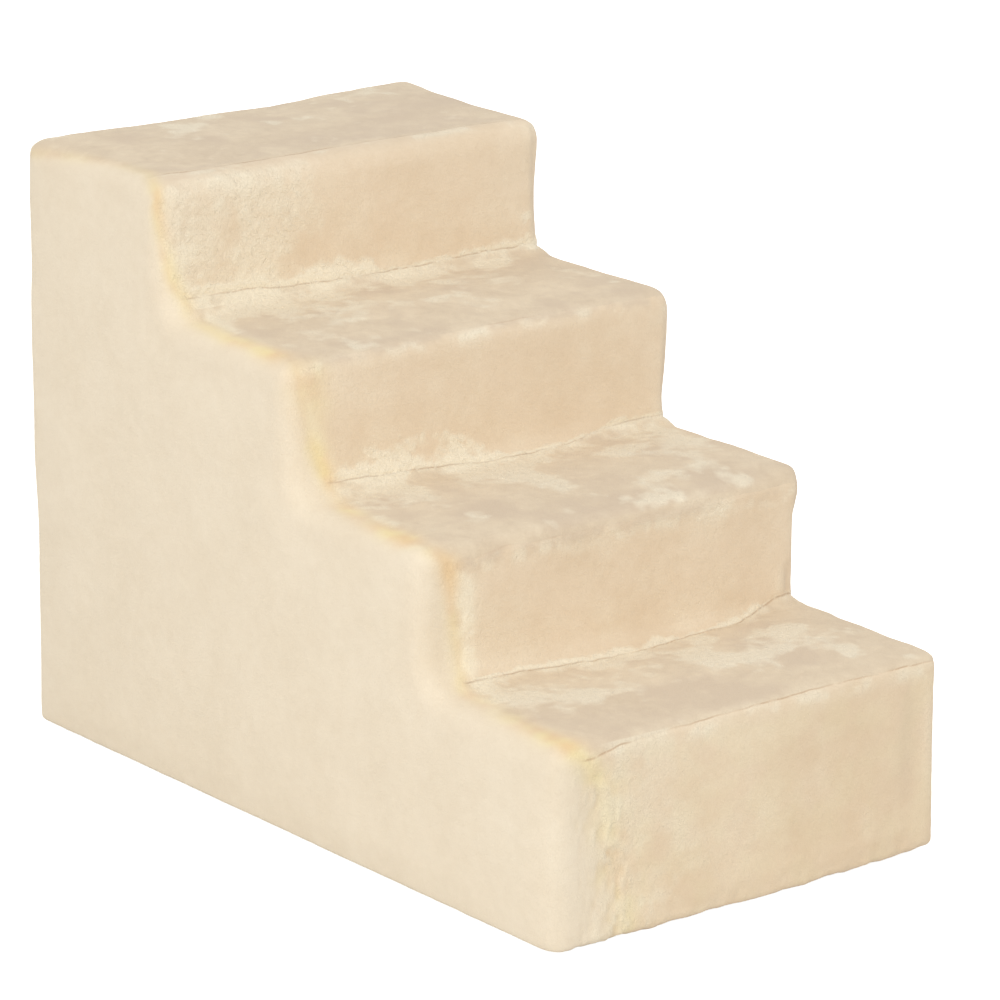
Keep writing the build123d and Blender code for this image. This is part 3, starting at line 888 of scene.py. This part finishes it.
def plush(name, colour, root, nap, mottle):
    """Plush of one colour, with its brushed and fluffed patches, the yellowed edge and the seam's painted
    shade; its grey, pale and amber tints also paint shade in hollows and highlights on crests.
    """
    material, tree, shader = new_material(name, 0.95, Sheen_Weight=0.2, Sheen_Roughness=0.5,
                                          Sheen_Tint=(1.0, 0.97, 0.9, 1), Specular_IOR_Level=0.15)
    creamy = attribute(tree, "creamy")
    tips = blend_colours(tree, creamy, colour, side_cream)
    roots = blend_colours(tree, creamy, root, side_root)
    pile = add_node(tree, "ShaderNodeGroup", node_tree=fibre, Colour=tips, Root=roots, Nap=nap, Mottle=mottle,
                    Fluff=attribute(tree, "standing"))
    place = object_place(tree)
    yellowing = off_middle(tree, noise_of(tree, place, 26.0, 2.0), 0.42, 6.0, clamp=True)
    edge = blend_colours(tree, yellowing, edge_amber, edge_yellow)
    from_seam = maths(tree, "DIVIDE", attribute(tree, "seam_gap"), seam_line)
    line = maths(tree, "SUBTRACT", 1.0, from_seam, clamp=True)
    seen = pile.outputs["Colour"]
    for amount, most, tint in (
        (attribute(tree, "brushed"), 0.8, nap_and_shade_grey),
        (attribute(tree, "pale_fluff"), 0.75, pale_and_highlight_tint),
        (attribute(tree, "amber"), 0.9, edge),
        (maths(tree, "MULTIPLY", attribute(tree, "seam_shade"), line), 0.62, seam_shade_brown),
    ):
        seen = blend_colours(tree, maths(tree, "MULTIPLY", amount, most, clamp=True), seen, tint)
    tree.links.new(seen, shader.inputs["Base Color"])
    bump_normal(tree, shader, pile.outputs["Height"], pile_bump)
    return material


def linear(red, green, blue):
    """A colour written in its usual 0 to 255 steps."""
    return tuple(((c / 255 + 0.055) / 1.055) ** 2.4 for c in (red, green, blue)) + (1,)


# The pale tint is loose pale pile and also the painted highlight on crests of folds, puckers and nosings
side_cream, side_root, pale_and_highlight_tint = linear(243, 229, 205), linear(233, 217, 191), linear(248, 236, 211)
# The grey tint is brushed pile's grey and also painted shade in folds, puckers and beside the left roll
nap_and_shade_grey, edge_amber, edge_yellow = linear(215, 195, 170), linear(236, 203, 155), linear(243, 223, 168)
# The seam line's brown is painted shade in the seam's groove between the pile
seam_shade_brown = linear(188, 150, 112)
seam_line, pile_bump = 1.5, 0.0011  # the seam line's half width in mm, and the pile's height in metres


def set_material(piece, material):
    """Leaves the piece with this material only."""
    piece.data.materials.clear()
    piece.data.materials.append(material)


def finish_panel(name, material, node):
    """Gives a sewn panel its turned edge, its plush and its place on the stairs."""
    piece = panels[name]
    turn_in(piece)
    set_material(piece, material)
    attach(piece, plush_body)
    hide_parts(node)


# Riser panels: one strip of warm beige plush for each step, its pile brushed down, sewn to the tread above
# and to the tread below. Their beige, warmer and darker than the side panels', is partly painted shade, as
# less light falls on the risers.
riser_plush = plush("riser_plush", linear(237, 218, 191), linear(226, 204, 174), 0.45, 1.4)
for i, low_z, high_z in zip(steps, foot_z, tread_z):
    finish_panel(f"riser_plush_{i}", riser_plush, f"riser_panel_{i}")

# Tread panels: the same plush laid with its pile across the climb, so that paws leave streaks that look
# greyer. Each wraps over its nosing. Their greyer beige is partly painted shade, for how the light falls on
# the tops.
tread_plush = plush("tread_plush", linear(234, 216, 188), linear(215, 195, 168), 1.2, 1.2)
for i, nose, inner in zip(steps, nose_y, inner_y):
    finish_panel(f"tread_plush_{i}", tread_plush, f"tread_panel_{i}")

# Side panels: stair-shaped pieces of paler plush that come round onto the front of the steps and are sewn
# there. Their paler cream is partly painted light, as the key lamp falls on the sides.
side_plush = plush("side_plush", linear(234, 217, 189), linear(220, 200, 172), 0.55, 1.0)
for side in ("left", "right"):
    finish_panel(f"{side}_side_plush", side_plush, f"{side}_side_panel")

# Back panel and the hem strip below it: straight pieces of the side panels' plush, sewn between the
# sides, with the zipper's slot between the two.
for name, node, height in (
    ("back_plush", "back_panel", top_z - slot_high),
    ("back_hem_plush", "back_hem_strip", slot_low),
):
    finish_panel(name, side_plush, node)

# Base panel: one piece of canvas under the foam, sewn to the cover's hem all round and printed with
# small rubber dots, so that the stairs don't slide when a pet jumps on them.
base_low, base_high = Vector(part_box("base_panel")[0]), Vector(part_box("base_panel")[1])
grip_height, canvas_thickness, canvas_inset, canvas_wave = 0.0009, 0.0007, 0.004, 0.0002
grip_pitch, grip_radius, grip_foot, rubber_bump = 0.015, 0.0024, 0.7, 0.0002

weave, taken, given = new_group("woven_threads", {"Vector": "Vector", "Threads": "Float", "Light": "Color",
                                                  "Dark": "Color"}, {"Colour": "Color", "Height": "Float"})
axes = add_node(weave, "ShaderNodeSeparateXYZ", Vector=taken.outputs["Vector"])
warp = maths(weave, "SINE", maths(weave, "MULTIPLY", axes.outputs["X"], taken.outputs["Threads"]))
weft = maths(weave, "SINE", maths(weave, "MULTIPLY", axes.outputs["Y"], taken.outputs["Threads"]))
over = gain(weave, maths(weave, "MULTIPLY", warp, weft), 0.5, 0.5)
slubs = off_middle(weave, noise_of(weave, taken.outputs["Vector"], 60.0, 3.0), 0.5, 0.9)
raised = maths(weave, "ADD", over, slubs, clamp=True)
thread_colour = blend_colours(weave, raised, taken.outputs["Dark"], taken.outputs["Light"])
give(weave, given, Colour=thread_colour, Height=over)


def woven(name, light, dark, threads, turn=(0.0, 0.0, 0.0), depth=0.0002):
    """A woven cloth, its threads lying in the plane that the turn brings flat."""
    material, tree, shader = new_material(name, 0.85, Sheen_Weight=0.1, Specular_IOR_Level=0.25)
    place = object_place(tree)
    flat = add_node(tree, "ShaderNodeMapping", Vector=place, Rotation=turn).outputs["Vector"]
    cloth = add_node(tree, "ShaderNodeGroup", node_tree=weave, Vector=flat, Threads=threads, Light=light,
                     Dark=dark)
    tree.links.new(cloth.outputs["Colour"], shader.inputs["Base Color"])
    bump_normal(tree, shader, cloth.outputs["Height"], depth)
    return material


canvas = woven("base_canvas", linear(214, 203, 180), linear(176, 163, 138), 5200.0)
bm = bmesh.new()
bmesh.ops.create_grid(bm, x_segments=40, y_segments=70, size=0.5)
canvas_size = base_high - base_low
canvas_size -= Vector((2 * canvas_inset, 2 * canvas_inset, 0))
stretch_mesh(bm, (canvas_size.x, canvas_size.y, 1))
canvas_middle = (base_low + base_high) / 2
move_mesh(bm, (canvas_middle.x, canvas_middle.y, grip_height))
base_canvas = build_mesh("base_canvas", bm, canvas)
points = points_of(base_canvas.data)
points[:, 2] += canvas_wave + canvas_wave * lattice_noise(points, 0.04, 30)
place_points(base_canvas.data, points)


def thicken(piece, thickness, side):
    """Gives a flat piece its thickness, on the side its faces look to or on the other."""
    thick = piece.modifiers.new("thickness", "SOLIDIFY")
    thick.thickness, thick.offset = thickness, side
    apply_modifiers(piece)


thicken(base_canvas, canvas_thickness, 1.0)

rubber, tree, shader = new_material("grip_rubber", 0.6, Specular_IOR_Level=0.4)
dust = noise_of(tree, object_place(tree), 90.0, 4.0)
show_grain(tree, shader, dust, linear(148, 138, 120), linear(186, 176, 156), rubber_bump)


def repeat(piece, axis, pitch, count):
    """Repeats a piece in a row along one axis."""
    row = piece.modifiers.new("row", "ARRAY")
    row.use_relative_offset, row.use_constant_offset = False, True
    row.constant_offset_displace = [pitch if n == axis else 0.0 for n in range(3)]
    row.count = int(count)
    apply_modifiers(piece)


grip_row = grip_pitch * math.sqrt(3) / 2
bm = bmesh.new()
for shift_x, shift_y in ((0.0, 0.0), (grip_pitch / 2, grip_row)):
    dome = bmesh.ops.create_cone(bm, cap_ends=True, segments=10, radius1=grip_radius * grip_foot,
                                 radius2=grip_radius, depth=grip_height)["verts"]
    spot = (base_low.x + grip_pitch + shift_x, base_low.y + grip_pitch + shift_y, grip_height / 2)
    move_mesh(bm, spot, dome)
base_grips = build_mesh("base_grip_dots", bm, rubber)
for axis, room, pitch in ((0, canvas_size.x, grip_pitch), (1, canvas_size.y, 2 * grip_row)):
    repeat(base_grips, axis, pitch, (room - 2 * grip_pitch) / pitch)

for piece in (base_canvas, base_grips):
    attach(piece, plush_body)
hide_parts("base_panel")

# Zipper tapes: two strips of woven polyester tape, each sewn behind the plush along one side of the
# slot, with a round bead along its other edge that carries the teeth.
tape_threads = woven("tape_twill", linear(226, 212, 186), linear(194, 178, 150), 9000.0,
                     turn=(math.radians(90), 0.0, math.radians(45)), depth=0.0001)
zip_low, zip_high = Vector(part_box("zipper_teeth_lower")[0]), Vector(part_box("zipper_teeth_upper")[1])
zip_z = (slot_low + slot_high) / 2
bead_radius, bead_sunk, tape_wave, tape_gap = 0.0006, 0.9, 0.0002, 0.0001


def turn_mesh(bm, degrees, axis):
    """Turns a bmesh about one axis."""
    bmesh.ops.rotate(bm, matrix=Matrix.Rotation(math.radians(degrees), 3, axis), verts=bm.verts)


for row, up in (("upper", 1), ("lower", -1)):
    low, high = (Vector(corner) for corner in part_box(f"zipper_tape_{row}"))
    bm = bmesh.new()
    bmesh.ops.create_grid(bm, x_segments=150, y_segments=8, size=0.5)
    stretch_mesh(bm, (high.x - low.x, high.z - low.z, 1))
    turn_mesh(bm, 90, "X")
    move_mesh(bm, ((low.x + high.x) / 2, low.y, (low.z + high.z) / 2))
    tape = build_mesh(f"zipper_tape_cloth_{row}", bm, tape_threads)
    points = points_of(tape.data)
    away_from_teeth = np.abs(points[:, 2] - zip_z) / (high.z - low.z)
    points[:, 1] += tape_wave * np.clip(away_from_teeth, 0, 1) * lattice_noise(points, 0.018, 31)
    place_points(tape.data, points)
    thicken(tape, high.y - low.y - tape_gap, -1.0)

    bm = bmesh.new()
    tooth_box = [Vector(corner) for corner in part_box(f"zipper_teeth_{row}")]
    bead_length = tooth_box[1].x - tooth_box[0].x
    bmesh.ops.create_cone(bm, segments=12, radius1=bead_radius, radius2=bead_radius, depth=bead_length,
                          cap_ends=True)
    turn_mesh(bm, 90, "Y")
    edge_z = low.z if up > 0 else high.z
    move_mesh(bm, ((tooth_box[0].x + tooth_box[1].x) / 2, high.y + bead_radius * bead_sunk,
                   edge_z + up * bead_radius))
    bead = build_mesh(f"zipper_bead_{row}", bm, tape_threads)
    for piece in (tape, bead):
        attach(piece, plush_body)
    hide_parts(f"zipper_tape_{row}")

# Zipper teeth: two rows of plastic teeth moulded on through their beads, each with a narrow neck and
# a wide head that locks between the teeth of the other row.
handled, taken, given = new_group("handled_surface", {"Clean": "Color", "Dull": "Color", "Size": "Float"},
                                  {"Colour": "Color", "Roughness": "Float", "Height": "Float"})
place = object_place(handled)
smudge = noise_of(handled, place, taken.outputs["Size"], 4.0)
drawn = add_node(handled, "ShaderNodeMapping", Vector=place, Scale=(0.12, 1.0, 1.0)).outputs["Vector"]
scratch = noise_of(handled, drawn, 2600.0, 2.0)
worn = off_middle(handled, smudge, 0.4, 2.2, clamp=True)
touched = blend_colours(handled, worn, taken.outputs["Clean"], taken.outputs["Dull"])
rough = gain(handled, worn, 0.2, maths(handled, "MULTIPLY", scratch, 0.3))
give(handled, given, Colour=touched, Roughness=rough, Height=scratch)


scratch_depth = 0.00003


def hard_finish(name, clean, dull, size, metallic):
    """Smooth plastic or plated metal with finger marks and fine scratches."""
    material, tree, shader = new_material(name, 0.4, Metallic=metallic)
    touched = add_node(tree, "ShaderNodeGroup", node_tree=handled, Clean=clean, Dull=dull, Size=size)
    tree.links.new(touched.outputs["Colour"], shader.inputs["Base Color"])
    tree.links.new(touched.outputs["Roughness"], shader.inputs["Roughness"])
    bump_normal(tree, shader, touched.outputs["Height"], scratch_depth)
    return material


tooth_plastic = hard_finish("tooth_plastic", linear(228, 216, 192), linear(206, 192, 164), 260.0, 0.0)
tooth_pitch, tooth_width, head_width, tooth_bevel = 0.0032, 0.0013, 0.0019, 0.0002
head_share, neck_share = 0.3, 0.6  # how far from the tip the head reaches, and the neck behind it
neck_narrowed, root_widened, sharp_angle = 0.8, 1.1, 0.7
for row, up in (("upper", 1), ("lower", -1)):
    low, high = (Vector(corner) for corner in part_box(f"zipper_teeth_{row}"))
    bm = bmesh.new()
    bmesh.ops.create_cube(bm, size=1)
    stretch_mesh(bm, (tooth_width, high.y - low.y, high.z - low.z))
    tall = [e for e in bm.edges if abs(e.verts[0].co.z - e.verts[1].co.z) > tooth_width]
    bmesh.ops.subdivide_edges(bm, edges=tall, cuts=3)
    tip = min(v.co.z * up for v in bm.verts)
    for v in bm.verts:
        way = (v.co.z * up - tip) / (high.z - low.z)
        behind_head = neck_narrowed if way < neck_share else root_widened
        v.co.x *= head_width / tooth_width if way < head_share else behind_head
    sharp = [e for e in bm.edges if e.calc_face_angle(0) > sharp_angle]
    bmesh.ops.bevel(bm, geom=sharp, offset=tooth_bevel, segments=1, profile=0.5, affect="EDGES", material=-1)
    start = low.x + tooth_pitch * (0.5 if up > 0 else 1.0)
    move_mesh(bm, (start, (low.y + high.y) / 2, (low.z + high.z) / 2))
    teeth = build_mesh(f"zipper_teeth_row_{row}", bm, tooth_plastic, smooth=False)
    repeat(teeth, 0, tooth_pitch, (high.x - low.x - tooth_pitch) / tooth_pitch)
    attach(teeth, plush_body)
    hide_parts(f"zipper_teeth_{row}")

# Zipper stops: a block of the same plastic moulded across both tapes at each end, so that the
# slider can't run off.
for name in ("zipper_top_stop", "zipper_bottom_stop"):
    set_material(frame["nodes"][name], tooth_plastic)

# Slider and pull: cast zinc, tumbled smooth and plated with nickel. The pull hangs on a pin through
# the slider's crown and swings over it.
nickel = hard_finish("plated_nickel", linear(214, 212, 206), linear(176, 173, 166), 420.0, 1.0)
for name in ("zipper_slider", "zipper_pull"):
    set_material(frame["nodes"][name], nickel)

# Zipper stitching: one row of lockstitch above the slot and one below it, in thread to match, pulled
# down into the pile.
stitch_length, stitch_pitch, stitch_radius, stitch_slant = 0.0026, 0.0033, 0.0004, 6
thread_bump = 0.0001
thread, tree, shader = new_material("sewing_thread", 0.7, Sheen_Weight=0.2)
place = object_place(tree)
plies = add_node(tree, "ShaderNodeTexWave", Vector=place, Scale=1400.0, bands_direction="DIAGONAL")
show_grain(tree, shader, plies.outputs["Fac"], linear(204, 184, 150), linear(232, 216, 186), thread_bump)
for row, edge, up in (("upper", slot_high, 1), ("lower", slot_low, -1)):
    bm = bmesh.new()
    bmesh.ops.create_uvsphere(bm, u_segments=6, v_segments=5, radius=stitch_radius)
    turn_mesh(bm, 90, "Y")
    stretch_mesh(bm, (stitch_length / stitch_radius / 2, 1, 1))
    turn_mesh(bm, stitch_slant * up, "Y")
    move_mesh(bm, (zip_low.x, back_y - topstitch_depth + stitch_radius, edge + up * topstitch_way))
    stitches = build_mesh(f"zipper_stitches_{row}", bm, thread)
    repeat(stitches, 0, stitch_pitch, (zip_high.x - zip_low.x) / stitch_pitch)
    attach(stitches, plush_body)

# Studio: a white floor that keeps the stairs' soft shadow, white all round, and wide lamps.
floor_reach, floor_glow, room_light, seen_white = 12, 0.86, 0.78, 1.0
bm = bmesh.new()
bmesh.ops.create_grid(bm, x_segments=1, y_segments=1, size=floor_reach)
floor = build_mesh("studio_floor", bm, smooth=False)
paper, tree, shader = new_material("studio_paper", 0.9, Base_Color=(0.75, 0.75, 0.75, 1))


def seen_directly(tree):
    """1 where the camera looks, also by way of metal or glass, and 0 for the light on the object."""
    path = tree.nodes.new("ShaderNodeLightPath")
    seen = maths(tree, "ADD", path.outputs["Is Camera Ray"], path.outputs["Is Glossy Ray"])
    return maths(tree, "ADD", seen, path.outputs["Is Transmission Ray"], clamp=True)


seen = seen_directly(tree)
glow = add_node(tree, "ShaderNodeEmission", Color=(1, 1, 1, 1), Strength=floor_glow)
lit = add_node(tree, "ShaderNodeAddShader")
tree.links.new(shader.outputs["BSDF"], lit.inputs[0])
tree.links.new(glow.outputs["Emission"], lit.inputs[1])
pick = add_node(tree, "ShaderNodeMixShader", Fac=seen)
tree.links.new(shader.outputs["BSDF"], pick.inputs[1])
tree.links.new(lit.outputs["Shader"], pick.inputs[2])
tree.links.new(pick.outputs["Shader"], tree.nodes["Material Output"].inputs["Surface"])
floor.data.materials.append(paper)

world = bpy.data.worlds.new("studio_white")
bpy.context.scene.world = world
world.use_nodes = True
tree = world.node_tree
strength = gain(tree, seen_directly(tree), seen_white - room_light, room_light)
tree.nodes["Background"].inputs["Color"].default_value = (1, 1, 1, 1)
tree.links.new(strength, tree.nodes["Background"].inputs["Strength"])

lit_spot = Vector((0, 0, 0.2))
for name, spot, size, power in (
    ("key_lamp", (-2.8, -1.3, 1.0), 2.4, 29.0),
    ("front_lamp", (0.8, -3.2, 1.6), 2.4, 13.0),
    ("top_lamp", (0.3, -0.4, 2.7), 2.2, 7.0),
):
    lamp = bpy.data.lights.new(name, "AREA")
    lamp.shape, lamp.size, lamp.energy = "DISK", size, power
    stand = bpy.data.objects.new(name, lamp)
    stand.location = spot
    stand.rotation_mode = "QUATERNION"
    stand.rotation_quaternion = (lit_spot - Vector(spot)).to_track_quat("-Z", "Y")
    bpy.context.scene.collection.objects.link(stand)

# Camera: a long lens, low and to the left of the first step
picture = 1000
focus_pixels, off_x, off_y = 5545.0, -27.2, -10.5
azimuth, rise, reach = math.radians(-37.73), math.radians(16.52), 4.456
aim = Vector((0, 0, top_z / 2))
away = Vector((math.sin(azimuth) * math.cos(rise), -math.cos(azimuth) * math.cos(rise), math.sin(rise)))
lens = bpy.data.cameras.new("camera")
lens.lens = focus_pixels / picture * lens.sensor_width
lens.shift_x, lens.shift_y = -off_x / picture, off_y / picture
camera = bpy.data.objects.new("camera", lens)
camera.location = aim + away * reach
camera.rotation_mode = "QUATERNION"
camera.rotation_quaternion = (-away).to_track_quat("-Z", "Y")
bpy.context.scene.collection.objects.link(camera)
bpy.context.scene.camera = camera
bpy.context.scene.view_settings.view_transform = "Standard"
